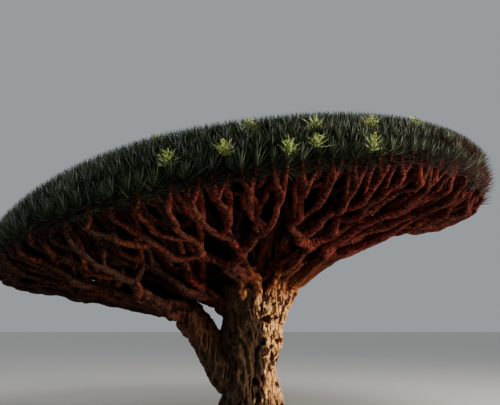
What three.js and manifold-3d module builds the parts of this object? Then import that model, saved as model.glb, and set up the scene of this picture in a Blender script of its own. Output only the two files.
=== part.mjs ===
// Dragon blood tree: a short stout trunk, a low stem that leans out to its left, boughs that fork in
// pairs, and an umbrella crown of dense leaf masses. One forking rule runs from the first boughs to
// the last twigs. Millimetres, +Z up. The origin is the middle of the flat cut at ground level.
import * as THREE from "three";
import { mergeVertices } from "three/addons/utils/BufferGeometryUtils.js";
import Module from "manifold-3d";

const wasm = await Module();
wasm.setup();

const DEGREE = Math.PI / 180;
const UP = new THREE.Vector3(0, 0, 1);

// The crown's outer surface, at the leaf tips: a blunt dome over a rim that falls to the left.
const crown = {
  centreX: -180,
  reachX: 4420,
  reachY: 4350,
  rimHeight: 3510,
  rise: 1470,
  slopeX: 0.163,
  slopeY: 0.025,
  leftDroop: 1.25e-5,
  bluntness: 2.48,
  leftBulge: 1.5,
  roundness: 0.62,
  sideInset: 0.6,
};

// How the crown is shared out between the first boughs: shares of its reach, and degrees.
const sectors = {
  hub: 0.012,
  centre: 0.3,
  leftInner: 0.6,
  ringCount: 6,
  ringAngle: 40,
  leftCount: 2,
  leftAngle: 60,
};

// The trunk, from its root flare past a waist to the broad head that carries the boughs.
const trunk = {
  height: 2620,
  waistRadius: 460,
  flare: 215,
  flareHeight: 240,
  shoulder: 260,
  shoulderStart: 950,
  shoulderEnd: 2400,
  lean: 95,
  headHeight: 420,
  headRadius: 330,
  headRound: 1.5,
  flutes: 7,
  fluteDepth: 0.045,
  fluteTwist: 700,
  roots: 5,
  rootDepth: 0.13,
  rootTurn: 0.6,
  sides: 24,
  rings: 11,
};

// The low stem that leaves the trunk's left side and carries the left rim of the crown.
const leftStem = {
  route: [
    [-190, -40, 560],
    [-450, -60, 880],
    [-640, -60, 1190],
    [-760, -60, 1520],
    [-1080, -50, 1850],
  ],
  radius: 290,
  tipRadius: 250,
  tipStart: 0.9,
  tipDraw: 0.4,
  sides: 8,
  rings: 7,
};

// Where the boughs start on the trunk's head and on the left stem's tip, and how each arches up.
const seats = {
  ringHeight: 2060,
  ringRadius: 390,
  ringArch: 0.62,
  middleHeight: 2400,
  middleArch: 1,
  leftHeight: 1980,
  leftShift: 330,
  leftArch: 1.8,
  stemArch: 1.25,
  sideStep: 130,
};

// Limbs by level: a bough leaves the trunk at level 1, and each fork adds 1. A fork's place is its
// share of the way from the seat to the leaves, and the last twigs turn up at a knee under them.
const limbs = {
  forkShares: [0, 0.14, 0.31, 0.5],
  lastLevel: 4,
  girth: 220,
  girthPower: -0.85,
  tipShare: 0.86,
  baseFlare: 0.3,
  flareEnd: 0.35,
  closeStart: 0.9,
  closeDraw: 0.45,
  splay: 0.6,
  sunk: 0.6,
  stemStart: 0.86,
  aimScatter: 0.3,
  rimReach: 0.985,
  rimPull: 0.62,
  kneeShare: 0.86,
  kneeDepth: 380,
  kneeSlack: 200,
  kneeOut: 140,
  bendStart: 0.86,
  bendEnd: 0.34,
  boughSides: 8,
  boughRings: 4,
  limbSides: 6,
  limbRings: 2,
  twigSides: 3,
};

// Leaf masses, measured inwards from the crown's outer surface.
const foliage = {
  gap: 30,
  coreTop: 190,
  coreBottom: 430,
  coreBumps: 60,
  coreTuck: 0.05,
  coreSteps: 3,
  coreStepAngle: 24,
  twigInset: 360,
  leafInset: 320,
  leafLength: 600,
  leafWidth: 120,
  leafThickness: 34,
  leafWidest: 0.17,
  leafRoll: 1.2,
  tipScatter: 30,
  leavesPerSpray: 3,
  tilts: [16, 52, 38],
  tiltTries: [1, 0.6, 0.2],
  lengthTries: [1, 0.8, 0.6],
  rimLean: 0.4,
  sprayForks: 3,
};

// Blossom heads among the leaves. Each one on the near side has its share of the crown's reach and
// its azimuth in degrees, and those on the far side are spread by chance.
const blossom = {
  nearSide: [
    [0.62, -114],
    [0.91, -102],
    [0.91, -92],
    [0.73, -87],
    [0.95, -81],
    [0.81, -74],
    [0.94, -76],
    [0.83, -62],
    [0.97, -66],
    [0.8, -46],
  ],
  farSideCount: 12,
  farSideFrom: -20,
  farSideStep: 13,
  innerShare: 0.5,
  outerShare: 0.95,
  spikes: 3,
  length: 350,
  width: 54,
  tilt: 15,
};

// The gap between solids that touch in the real tree.
const clearance = 0.5;

// A repeatable number from 0 to 1 for one branch and one purpose.
function chance(id, salt) {
  const wave = Math.sin(id * 12.9898 + salt * 78.233) * 43758.5453;
  return wave - Math.floor(wave);
}

// 0 below low, 1 above high, and a smooth rise between them.
function smooth(value, low, high) {
  return THREE.MathUtils.smoothstep(value, low, high);
}

// A geometry with only positions, and one vertex at each corner.
function joined(geometry) {
  const bare = geometry.clone();
  bare.deleteAttribute("normal");
  bare.deleteAttribute("uv");
  return mergeVertices(bare, 1e-3);
}

// A closed geometry as a solid.
function solidOf(geometry) {
  const merged = joined(geometry);
  return new wasm.Manifold(
    new wasm.Mesh({
      numProp: 3,
      vertProperties: merged.getAttribute("position").array,
      triVerts: new Uint32Array(merged.index.array),
    }),
  );
}

// A solid as a geometry.
function geometryOf(solid) {
  const mesh = solid.getMesh();
  const geometry = new THREE.BufferGeometry();
  const position = new THREE.BufferAttribute(new Float32Array(mesh.vertProperties), 3);
  geometry.setAttribute("position", position);
  geometry.setIndex(new THREE.BufferAttribute(new Uint32Array(mesh.triVerts), 1));
  geometry.computeVertexNormals();
  return geometry;
}

// A closed surface moved outwards along its normals, which cuts a neighbour clear of it.
function grown(geometry, distance) {
  const merged = joined(geometry);
  merged.computeVertexNormals();
  const position = merged.getAttribute("position");
  const normal = merged.getAttribute("normal");
  for (let i = 0; i < position.count; i++) {
    const point = new THREE.Vector3().fromBufferAttribute(position, i);
    point.addScaledVector(new THREE.Vector3().fromBufferAttribute(normal, i), distance);
    position.setXYZ(i, point.x, point.y, point.z);
  }
  return merged;
}

// The largest connected body of a solid, without loose scraps and sealed hollows.
function largestBody(solid) {
  const bodies = solid.decompose();
  return bodies.reduce((best, body) => (body.volume() > best.volume() ? body : best));
}

// Whether the boxes round two solids meet.
function boxesMeet(a, b) {
  const boxA = a.boundingBox();
  const boxB = b.boundingBox();
  return [0, 1, 2].every((k) => boxA.min[k] <= boxB.max[k] && boxB.min[k] <= boxA.max[k]);
}

// The spread, as a part of the crown's reach, of a share: even steps, drawn together at the rim.
function spreadOf(share) {
  return share * (1.1 - 0.1 * share ** 8);
}

// The height of the tilted rim surface at an offset from the crown's centre.
function rimSurface(x, y) {
  const droop = crown.leftDroop * Math.min(x, 0) ** 2;
  return crown.rimHeight + crown.slopeX * x + crown.slopeY * y - droop;
}

// The dome's height above the rim surface for a shell that lies inset from the outer one. It is
// blunter towards the left.
function domeHeight(spread, inset, x) {
  const leftness = THREE.MathUtils.clamp(-x / crown.reachX, 0, 1);
  const rest = Math.max(0, 1 - spread ** (crown.bluntness + crown.leftBulge * leftness));
  return (crown.rise - inset) * rest ** crown.roundness;
}

// A point of the crown, from its share of the reach, its azimuth and its inset.
function canopy(share, azimuth, inset) {
  const spread = spreadOf(share);
  const sideways = crown.sideInset * inset;
  const x = (crown.reachX - sideways) * spread * Math.cos(azimuth);
  const y = (crown.reachY - sideways) * spread * Math.sin(azimuth);
  const z = rimSurface(x, y) + domeHeight(spread, inset, x);
  return new THREE.Vector3(crown.centreX + x, y, z);
}

// The level direction outwards at an azimuth.
function outward(azimuth) {
  return new THREE.Vector3(Math.cos(azimuth), Math.sin(azimuth), 0);
}

// The direction a spray faces: upright over most of the crown, leaning outwards at the rim.
function sprayAxis(share, azimuth) {
  return outward(azimuth).multiplyScalar(foliage.rimLean * share ** 4).add(UP).normalize();
}

// Where a point lies in the crown: its spread, its azimuth and its inset, the last by bisection.
function locate(point) {
  const x = point.x - crown.centreX;
  const { y } = point;
  const height = point.z - rimSurface(x, y);
  const spreadAt = (inset) => {
    const sideways = crown.sideInset * inset;
    return Math.hypot(x / (crown.reachX - sideways), y / (crown.reachY - sideways));
  };
  let low = -foliage.leafLength;
  let high = crown.rise;
  for (let i = 0; i < 24; i++) {
    const middle = (low + high) / 2;
    if (domeHeight(spreadAt(middle), middle, x) > height) low = middle;
    else high = middle;
  }
  return { spread: spreadAt(high), azimuth: Math.atan2(y, x), inset: high };
}

// The share that halves a cell's area, and the azimuth that halves its angle.
function middleOf(cell) {
  const share = Math.sqrt((cell.inner ** 2 + cell.outer ** 2) / 2);
  return { share, azimuth: (cell.from + cell.to) / 2 };
}

// Whether a point keeps to a cell's own space, clear of the next cell's, and inside the crown.
function staysIn(cell, point) {
  const { spread, azimuth, inset } = locate(point);
  const margin = foliage.gap / crown.reachX;
  const inner = spreadOf(cell.inner) + margin;
  const outer = cell.outer < 1 ? spreadOf(cell.outer) - margin : 1;
  const offset = azimuth - middleOf(cell).azimuth;
  const turn = Math.abs(Math.atan2(Math.sin(offset), Math.cos(offset)));
  const side = margin / Math.max(spread, margin);
  return spread > inner && spread < outer && turn < (cell.to - cell.from) / 2 - side && inset > 0;
}

// A cell's own aim: its middle, or nearer the rim for a cell at the rim, moved a little by chance.
function aimOf(cell) {
  const middle = middleOf(cell);
  const { rimReach, rimPull, aimScatter } = limbs;
  const atRim = cell.outer === 1;
  const share = atRim ? THREE.MathUtils.lerp(middle.share, rimReach, rimPull) : middle.share;
  const room = Math.min(cell.outer - cell.inner, rimReach - share);
  const turn = (chance(cell.id, 2) - 0.5) * aimScatter * (cell.to - cell.from);
  return {
    share: share + (chance(cell.id, 1) - 0.5) * aimScatter * room,
    azimuth: middle.azimuth + turn,
  };
}

// The forking rule: a cell of the crown is halved across its longer side, one half for each branch.
function halve(cell) {
  const { share: middle, azimuth: half } = middleOf(cell);
  const first = { ...cell, id: 2 * cell.id };
  const second = { ...cell, id: 2 * cell.id + 1 };
  if (cell.outer - cell.inner > middle * (cell.to - cell.from)) {
    return [{ ...first, outer: middle }, { ...second, inner: middle }];
  }
  return [{ ...first, to: half }, { ...second, from: half }];
}

// The point a share of the way from a seat to a cell's aim: an arch out to a knee under the leaves,
// then a twig that turns up into them.
function wayPoint(cell, share) {
  const aim = aimOf(cell);
  const tip = canopy(aim.share, aim.azimuth, foliage.twigInset);
  const rim = aim.share ** 6;
  const depth = limbs.kneeDepth + limbs.kneeSlack * rim * (1 + Math.cos(aim.azimuth));
  const knee = tip.clone().addScaledVector(UP, -depth);
  knee.addScaledVector(outward(aim.azimuth), limbs.kneeOut * rim);
  if (share > limbs.kneeShare) {
    return knee.lerp(tip, (share - limbs.kneeShare) / (1 - limbs.kneeShare));
  }
  const part = share / limbs.kneeShare;
  const point = cell.seat.clone().lerp(knee, part);
  point.z = THREE.MathUtils.lerp(cell.seat.z, knee.z, part ** cell.arch);
  return point;
}

// The direction of growth at that point.
function wayDirection(cell, share) {
  const step = 0.02;
  const ahead = wayPoint(cell, Math.min(share + step, 1));
  return ahead.sub(wayPoint(cell, Math.max(share - step, 0))).normalize();
}

// The route of one limb: it leaves its parent splayed to its own side, and ends as it grows.
function limbRoute(start, parentDirection, cell, share) {
  const end = wayPoint(cell, share);
  const chord = end.clone().sub(start);
  const third = chord.length() / 3;
  const away = chord.clone().normalize();
  const sideways = away.clone().addScaledVector(parentDirection, -away.dot(parentDirection));
  const setOff = away.addScaledVector(sideways, limbs.splay).normalize();
  const arrive = wayDirection(cell, share);
  return new THREE.CubicBezierCurve3(
    start,
    start.clone().addScaledVector(setOff, third),
    end.clone().addScaledVector(arrive, -third),
    end,
  );
}

// Stations along a limb's route: a point, a direction and a radius for each of its rings.
function stationsOf(route, radiusAt, rings, from = 0, to = 1) {
  return Array.from({ length: rings + 1 }, (_, i) => {
    const share = THREE.MathUtils.lerp(from, to, i / rings);
    const point = route.getPointAt(share);
    return { point, along: route.getTangentAt(share), radius: radiusAt(share) };
  });
}

// The direction of growth at a station: its own, or from the one before it to the one after.
function alongAt(stations, i) {
  if (stations[i].along) return stations[i].along;
  const next = stations[Math.min(i + 1, stations.length - 1)].point;
  return next.clone().sub(stations[Math.max(i - 1, 0)].point).normalize();
}

// A limb: a cylinder with one ring carried to each station, turned from the level direction across.
function limbGeometry(stations, sides, across) {
  const rings = stations.length - 1;
  const geometry = new THREE.CylinderGeometry(1, 1, 1, sides, rings);
  const position = geometry.getAttribute("position");
  for (let i = 0; i < position.count; i++) {
    const ring = Math.round((position.getY(i) + 0.5) * rings);
    const { point, radius } = stations[ring];
    const along = alongAt(stations, ring);
    const side = across.clone().addScaledVector(along, -across.dot(along)).normalize();
    const other = side.clone().cross(along);
    const corner = point.clone().addScaledVector(side, position.getX(i) * radius);
    corner.addScaledVector(other, position.getZ(i) * radius);
    position.setXYZ(i, corner.x, corner.y, corner.z);
  }
  return geometry;
}

// The radius at the start of a limb of a level.
function girthOf(level) {
  return limbs.girth * level ** limbs.girthPower;
}

// A limb's taper, with a flare at its base. A bough also closes where it forks.
function taper(level) {
  const start = girthOf(level);
  return (share) => {
    const plain = start * THREE.MathUtils.lerp(1, limbs.tipShare, share);
    const flared = plain * (1 + limbs.baseFlare * (1 - smooth(share, 0, limbs.flareEnd)));
    const closed = 1 - limbs.closeDraw * smooth(share, limbs.closeStart, 1);
    return level === 1 ? flared * closed : flared;
  };
}

// The level direction across a cell's azimuth, from which a limb's rings are turned.
function acrossOf(cell) {
  return outward(middleOf(cell).azimuth + Math.PI / 2);
}

// The trunk's radius at a height and an angle: waist, root flare, shoulder, head and flutes.
function trunkRadius(height, angle) {
  const foot = Math.exp(-height / trunk.flareHeight);
  const shoulder = trunk.shoulder * smooth(height, trunk.shoulderStart, trunk.shoulderEnd);
  const full = trunk.waistRadius + trunk.flare * foot + shoulder;
  const head = smooth(height, trunk.height - trunk.headHeight, trunk.height) ** trunk.headRound;
  const closed = THREE.MathUtils.lerp(full, trunk.headRadius, head);
  const flutes = trunk.fluteDepth * Math.cos(trunk.flutes * angle + height / trunk.fluteTwist);
  const roots = trunk.rootDepth * foot * Math.cos(trunk.roots * angle + trunk.rootTurn);
  return closed * (1 + flutes + roots);
}

// The trunk: a cylinder turned upright whose level rings follow that radius.
function trunkGeometry() {
  const geometry = new THREE.CylinderGeometry(1, 1, 1, trunk.sides, trunk.rings);
  const position = geometry.getAttribute("position");
  for (let i = 0; i < position.count; i++) {
    const height = (position.getY(i) + 0.5) * trunk.height;
    const x = position.getX(i);
    const y = -position.getZ(i);
    const radius = trunkRadius(height, Math.atan2(y, x));
    const middle = trunk.lean * smooth(height, trunk.shoulderStart, trunk.shoulderEnd);
    position.setXYZ(i, middle + x * radius, y * radius, height);
  }
  return geometry;
}

// The left stem's route.
function stemRoute() {
  return new THREE.CatmullRomCurve3(leftStem.route.map((point) => new THREE.Vector3(...point)));
}

// The left stem's radius, which closes at the tip where its boughs take over.
function stemRadius(share) {
  const plain = THREE.MathUtils.lerp(leftStem.radius, leftStem.tipRadius, share);
  return plain * (1 - leftStem.tipDraw * smooth(share, leftStem.tipStart, 1));
}

// The cells of the boughs in a ring round the trunk's head, from the near left to the far left.
function ringCells() {
  const { ringCount, ringAngle, centre } = sectors;
  return Array.from({ length: ringCount }, (_, i) => {
    const from = (i - ringCount / 2) * ringAngle * DEGREE;
    const to = from + ringAngle * DEGREE;
    const seat = outward((from + to) / 2).multiplyScalar(seats.ringRadius);
    seat.add(new THREE.Vector3(trunk.lean, 0, seats.ringHeight));
    return { inner: centre, outer: 1, from, to, seat, arch: seats.ringArch };
  });
}

// The cells on the left: outer ones fed by the left stem, and inner ones by boughs of the trunk.
function leftCells() {
  const { leftCount, leftAngle, centre, leftInner } = sectors;
  return Array.from({ length: leftCount }, (_, i) => {
    const from = (180 + (i - leftCount / 2) * leftAngle) * DEGREE;
    const to = from + leftAngle * DEGREE;
    const aside = new THREE.Vector3(0, seats.sideStep * (1 - 2 * i), 0);
    const onStem = stemRoute().getPointAt(1).add(aside);
    const onTrunk = new THREE.Vector3(trunk.lean - seats.leftShift, 0, seats.leftHeight).add(aside);
    return [
      { inner: leftInner, outer: 1, from, to, seat: onStem, arch: seats.stemArch },
      { inner: centre, outer: leftInner, from, to, seat: onTrunk, arch: seats.leftArch },
    ];
  }).flat();
}

// The cell in the middle of the crown, over the trunk.
function middleCell() {
  const seat = new THREE.Vector3(trunk.lean, 0, seats.middleHeight);
  const { hub, centre } = sectors;
  return { inner: hub, outer: centre, from: -Math.PI, to: Math.PI, seat, arch: seats.middleArch };
}

// All first boughs' cells. A branch's number is twice its parent's, or twice that and one.
function firstCells() {
  const cells = [...ringCells(), ...leftCells(), middleCell()];
  return cells.map((cell, i) => ({ ...cell, id: 16 + i }));
}

// A level direction square to another, also where that one is upright.
function levelAcross(direction) {
  const across = new THREE.Vector3().crossVectors(direction, UP);
  return across.lengthSq() > 0.01 ? across.normalize() : across.set(1, 0, 0);
}

// One leaf, which stands for a spray: an eight-faced blade, widest near its root.
function leafGeometry(root, direction, width, thickness, length, roll) {
  const geometry = new THREE.OctahedronGeometry(1, 0);
  const position = geometry.getAttribute("position");
  const side = levelAcross(direction).applyAxisAngle(direction, roll);
  const face = side.clone().cross(direction);
  for (let i = 0; i < position.count; i++) {
    const station = position.getY(i);
    const along = station > 0.5 ? 1 : station < -0.5 ? 0 : foliage.leafWidest;
    const point = root.clone().addScaledVector(direction, along * length);
    point.addScaledVector(side, (position.getX(i) * width) / 2);
    point.addScaledVector(face, (position.getZ(i) * thickness) / 2);
    position.setXYZ(i, point.x, point.y, point.z);
  }
  return geometry;
}

// Whether every corner of a leaf keeps to the cell's space. Its root is deeper than the leaves go.
function leafStaysIn(cell, geometry) {
  const position = geometry.getAttribute("position");
  for (let i = 0; i < position.count; i++) {
    const point = new THREE.Vector3().fromBufferAttribute(position, i);
    const atRoot = locate(point).inset > foliage.leafInset - 10;
    if (!atRoot && !staysIn(cell, point)) return false;
  }
  return true;
}

// A direction at a tilt from an axis, turned round it.
function tilted(axis, tilt, turn) {
  const across = levelAcross(axis).applyAxisAngle(axis, turn);
  return axis.clone().applyAxisAngle(across, tilt);
}

// A leaf of a spray as it would grow, and steeper and shorter ones to take its place.
function leafOptions(id, k, root, axis, turn) {
  const { leafWidth, leafThickness, leafInset, leafLength, tilts } = foliage;
  const roll = (chance(id, 30 + k) - 0.5) * foliage.leafRoll;
  const depth = leafInset - foliage.tipScatter * chance(id, 20 + k);
  return foliage.tiltTries.flatMap((tiltPart) => {
    const tilt = tilts[k % tilts.length] * DEGREE * tiltPart;
    const direction = tilted(axis, tilt, turn);
    const length = Math.min(leafLength, depth / Math.cos(tilt));
    return foliage.lengthTries.map((part) =>
      leafGeometry(root, direction, leafWidth, leafThickness, length * part, roll),
    );
  });
}

// The leaves of one spray, each the first of its options that keeps to the mass's space.
function sprayLeaves(spray, mass) {
  const { share, azimuth } = aimOf(spray);
  const root = canopy(share, azimuth, foliage.leafInset);
  const axis = sprayAxis(share, azimuth);
  const count = foliage.leavesPerSpray - Math.round(chance(spray.id, 9));
  const leaves = Array.from({ length: count }, (_, k) => {
    const turn = (k / count + 0.2 * chance(spray.id, 10 + k)) * 2 * Math.PI;
    const options = leafOptions(spray.id, k, root, axis, turn);
    return options.find((geometry) => leafStaysIn(mass, geometry));
  });
  return leaves.filter((geometry) => geometry !== undefined);
}

// The places of all the blossom heads.
function blossomPlaces() {
  const near = blossom.nearSide.map(([share, degrees]) => ({ share, azimuth: degrees * DEGREE }));
  const far = Array.from({ length: blossom.farSideCount }, (_, i) => {
    const { innerShare, outerShare, farSideFrom, farSideStep } = blossom;
    const share = THREE.MathUtils.lerp(innerShare, outerShare, chance(i, 40));
    return { share, azimuth: (farSideFrom + farSideStep * i) * DEGREE };
  });
  return [...near, ...far];
}

// The blossom heads of a mass, each a few upright spikes.
function blossomSpikes(mass) {
  const inMass = ({ share, azimuth }) =>
    share > mass.inner && share < mass.outer && azimuth > mass.from && azimuth < mass.to;
  const { spikes, tilt, width, length } = blossom;
  const heads = blossomPlaces().filter(inMass);
  const geometries = heads.flatMap(({ share, azimuth }) => {
    const root = canopy(share, azimuth, foliage.leafInset);
    const axis = sprayAxis(share, azimuth);
    return Array.from({ length: spikes }, (_, k) => {
      const direction = tilted(axis, tilt * DEGREE, (k / spikes) * 2 * Math.PI);
      return leafGeometry(root, direction, width, width, length, 0);
    });
  });
  return geometries.filter((geometry) => leafStaysIn(mass, geometry));
}

// The dense core of a mass, which its leaves stand out of: a box bent to the cell, bumpy on top.
function coreGeometry(cell) {
  const { coreSteps, coreStepAngle, coreTop, coreBottom, coreBumps, coreTuck } = foliage;
  const angle = (cell.to - cell.from) / DEGREE;
  const turns = THREE.MathUtils.clamp(Math.round(angle / coreStepAngle), 3, 6);
  const geometry = new THREE.BoxGeometry(1, 1, 1, coreSteps, 1, turns);
  const position = geometry.getAttribute("position");
  const margin = foliage.gap / crown.reachX;
  const inner = cell.inner + margin;
  const outer = cell.outer < 1 ? cell.outer - margin : 1;
  for (let i = 0; i < position.count; i++) {
    const top = position.getY(i) > 0;
    const outPart = position.getX(i) + 0.5;
    const turnPart = position.getZ(i) + 0.5;
    const edge = THREE.MathUtils.lerp(inner, outer, outPart);
    const share = top || outPart < 0.1 ? edge : edge - coreTuck * edge ** 4;
    const side = margin / share;
    const azimuth = THREE.MathUtils.lerp(cell.to - side, cell.from + side, turnPart);
    const corner = Math.round(outPart * coreSteps) * 10 + Math.round(turnPart * turns);
    const inset = top ? coreTop - coreBumps * chance(cell.id, 50 + corner) : coreBottom;
    const point = canopy(share, azimuth, inset);
    position.setXYZ(i, point.x, point.y, point.z);
  }
  return geometry;
}

// The cells a few forks further on.
function cellsAfter(cell, forks) {
  return forks === 0 ? [cell] : halve(cell).flatMap((half) => cellsAfter(half, forks - 1));
}

// The grown copies of the limbs that stand so far, which cut what comes next clear of them.
const cutters = [];

// A geometry's solid, cut clear of every limb that stands there.
function cutClear(solid) {
  const near = cutters.filter((cutter) => boxesMeet(solid, cutter));
  return largestBody(near.reduce((rest, cutter) => rest.subtract(cutter), solid));
}

// A limb's solid, which from now on keeps its own space.
function stand(geometry) {
  const solid = cutClear(solidOf(geometry));
  cutters.push(solidOf(grown(geometry, clearance)));
  return solid;
}

// A last twig's stations beyond its fork: out to the knee, round the bend and up into the leaves.
function lastTwig(cell, node) {
  const radius = girthOf(limbs.lastLevel);
  const knee = wayPoint(cell, limbs.kneeShare);
  const tip = wayPoint(cell, 1);
  return [
    { point: node.clone().lerp(knee, limbs.bendStart), radius },
    { point: knee.clone().lerp(tip, limbs.bendEnd), radius },
    { point: tip, radius: radius * limbs.tipShare },
  ];
}

// Twigs that go on from the last of some stations. At each fork the first half of the cell takes the
// same piece further, and the second half starts a piece of its own.
function twigsFrom(stations, cell, level, sides) {
  const node = stations[stations.length - 1].point;
  if (level === limbs.lastLevel) {
    return [limbGeometry([...stations, ...lastTwig(cell, node)], sides, acrossOf(cell))];
  }
  const radius = girthOf(level + 1);
  const starts = [stations, [{ point: node, radius }]];
  return halve(cell).flatMap((half, i) => {
    const point = wayPoint(half, limbs.forkShares[level + 1]);
    const onwards = level + 1 < limbs.lastLevel ? [...starts[i], { point, radius }] : starts[i];
    return twigsFrom(onwards, half, level + 1, i === 0 ? sides : limbs.twigSides);
  });
}

// A mass: stem, twigs, core, leaves and blossom joined, with the stem clear of the limb's cut end.
function massSolid(cell, route) {
  const stemStart = limbs.stemStart + clearance / route.getLength();
  const stem = stationsOf(route, taper(2), 1, stemStart, 1);
  const sprays = cellsAfter(cell, foliage.sprayForks);
  const pieces = [
    coreGeometry(cell),
    ...twigsFrom(stem, cell, 2, limbs.limbSides),
    ...sprays.flatMap((spray) => sprayLeaves(spray, cell)),
    ...blossomSpikes(cell),
  ];
  return cutClear(pieces.map(solidOf).reduce((sum, piece) => sum.add(piece)));
}

const bark = new THREE.MeshStandardMaterial({ color: 0x6b5846, roughness: 0.95, metalness: 0 });
const redBark = new THREE.MeshStandardMaterial({ color: 0x7a3a22, roughness: 0.9, metalness: 0 });
const leaf = new THREE.MeshStandardMaterial({ color: 0x3a4a2c, roughness: 0.6, metalness: 0 });

const tree = new THREE.Group();

// Adds a named mesh to the tree.
function show(name, solid, material) {
  const mesh = new THREE.Mesh(geometryOf(solid), material);
  mesh.name = name;
  tree.add(mesh);
}

// Trunk and left stem.
show("trunk", stand(trunkGeometry()), bark);
const stemStations = stationsOf(stemRoute(), stemRadius, leftStem.rings);
const stemAcross = new THREE.Vector3(0, 1, 0);
show("left_stem", stand(limbGeometry(stemStations, leftStem.sides, stemAcross)), bark);

// Boughs, each from its seat to its first fork.
const boughs = firstCells().map((cell, i) => {
  const number = String(i + 1).padStart(2, "0");
  const route = limbRoute(cell.seat, wayDirection(cell, 0.1), cell, limbs.forkShares[1]);
  const stations = stationsOf(route, taper(1), limbs.boughRings);
  show(`bough_${number}`, stand(limbGeometry(stations, limbs.boughSides, acrossOf(cell))), redBark);
  return { cell, number, route };
});

// Limbs, two from the fork of each bough, each to the foot of its leaf mass.
const limbEnds = boughs.flatMap(({ cell, number, route }) => {
  const direction = route.getTangentAt(1);
  const start = route.getPointAt(1).addScaledVector(direction, -limbs.sunk * girthOf(2));
  return halve(cell).map((half, i) => {
    const place = number + "ab"[i];
    const onwards = limbRoute(start, direction, half, limbs.forkShares[2]);
    const stations = stationsOf(onwards, taper(2), limbs.limbRings, 0, limbs.stemStart);
    show(`limb_${place}`, stand(limbGeometry(stations, limbs.limbSides, acrossOf(half))), redBark);
    return { cell: half, place, route: onwards };
  });
});

// Leaf masses, one on each limb.
for (const { cell, place, route } of limbEnds) {
  show(`foliage_${place}`, massSolid(cell, route), leaf);
}

export default tree;
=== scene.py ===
"""The looks of a dragon blood tree: fluted bark, forked red-brown limbs and a carpet of leaf rosettes.

Every limb, twig and leaf grows by the same forking rule as the solids, carried to finer twigs.
Metres, +Z up, with the origin in the middle of the flat cut at ground level.
"""

import math

import bpy
import numpy as np
from mathutils import Euler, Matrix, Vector


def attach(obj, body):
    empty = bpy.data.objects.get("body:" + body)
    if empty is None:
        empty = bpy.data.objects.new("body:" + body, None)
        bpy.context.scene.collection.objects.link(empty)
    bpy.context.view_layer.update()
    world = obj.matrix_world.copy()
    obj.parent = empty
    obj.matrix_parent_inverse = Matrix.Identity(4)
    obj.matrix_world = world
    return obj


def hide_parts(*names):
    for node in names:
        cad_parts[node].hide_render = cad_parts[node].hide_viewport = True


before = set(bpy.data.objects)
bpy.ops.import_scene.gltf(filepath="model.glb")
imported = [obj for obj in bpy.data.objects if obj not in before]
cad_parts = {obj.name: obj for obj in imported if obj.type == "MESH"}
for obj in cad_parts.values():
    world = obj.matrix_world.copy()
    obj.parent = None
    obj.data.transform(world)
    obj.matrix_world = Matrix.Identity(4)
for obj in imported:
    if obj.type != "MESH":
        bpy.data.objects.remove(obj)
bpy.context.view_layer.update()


# Camera. It stands on the ground 12 m in front of the trunk, at the height of a person's eyes, and
# looks up a little. Its frame is 500 wide and 405 high, with the trunk's axis in the middle.
def placed(name, data):
    """An object with that data, in the scene."""
    made = bpy.data.objects.new(name, data)
    bpy.context.scene.collection.objects.link(made)
    return made


camera_pitch = math.radians(10.39)
sensor_width, focal_pixels, frame_pixels = 36, 668, 500
camera_data = bpy.data.cameras.new("camera")
camera_data.sensor_width = sensor_width
camera_data.lens = sensor_width * focal_pixels / frame_pixels
camera = placed("camera", camera_data)
camera.location = (0, -12, 1.64)
camera.rotation_euler = Euler((math.pi / 2 + camera_pitch, 0, 0))
bpy.context.scene.camera = camera


# Studio. A pale floor and a pale even sky, a broad low lamp on the right that reaches under the
# crown, a weaker one overhead for the leaves, and a faint sun for the side that faces away.
def shader_of(material):
    """The material's shader."""
    return material.node_tree.nodes["Principled BSDF"]


def fill(owner, node, inputs):
    """Fills inputs of a node, given by name or number, each with an output or a plain value. The node
    is its owner's, a material or the sky."""
    for key, value in inputs.items():
        if isinstance(value, bpy.types.NodeSocket):
            owner.node_tree.links.new(value, node.inputs[key])
        else:
            node.inputs[key].default_value = value


def plain_material(name, colour, roughness, gloss=0.5):
    """A material of one colour, one roughness and one strength of its shine."""
    material = bpy.data.materials.new(name)
    material.use_nodes = True
    looks = {"Base Color": (*colour, 1), "Roughness": roughness, "Specular IOR Level": gloss}
    fill(material, shader_of(material), looks)
    return material


def add_lamp(name, kind, place, target, power, colour):
    """A lamp turned from its place towards a target: watts for an area lamp, W/m2 for a sun."""
    lamp_data = bpy.data.lights.new(name, kind)
    lamp_data.energy = power
    lamp_data.color = colour
    lamp = placed(name, lamp_data)
    lamp.location = place
    lamp.rotation_euler = (Vector(target) - Vector(place)).to_track_quat("-Z", "Y").to_euler()
    return lamp_data


floor_reach, floor_level = 150, -0.002
floor_signs = [(-1, -1), (1, -1), (1, 1), (-1, 1)]
floor_corners = [(x * floor_reach, y * floor_reach, floor_level) for x, y in floor_signs]
floor_mesh = bpy.data.meshes.new("floor")
floor_mesh.from_pydata(floor_corners, [], [(0, 1, 2, 3)])
floor_mesh.materials.append(plain_material("pale_floor", (0.62, 0.6, 0.57), 0.9))
floor = placed("floor", floor_mesh)

sky = bpy.data.worlds.new("sky")
sky.use_nodes = True
fill(sky, sky.node_tree.nodes["Background"], {"Color": (0.78, 0.84, 0.88, 1), "Strength": 0.44})
bpy.context.scene.world = sky

low_right = add_lamp("low_right", "AREA", (24, -9, 3.8), (0.6, 0, 2.9), 2600, (1, 0.84, 0.68))
low_right.shape = "RECTANGLE"
low_right.size = 8.5
low_right.size_y = 5.6
low_right.spread = math.radians(90)
overhead = add_lamp("overhead", "AREA", (5, -5, 12), (0, 0, 4), 1500, (1, 0.98, 0.94))
overhead.size = 8
back_left = add_lamp("back_left", "SUN", (-20, 9, 5), (0, 0, 2.8), 1.3, (0.92, 0.97, 1))
back_left.angle = math.radians(25)


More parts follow.
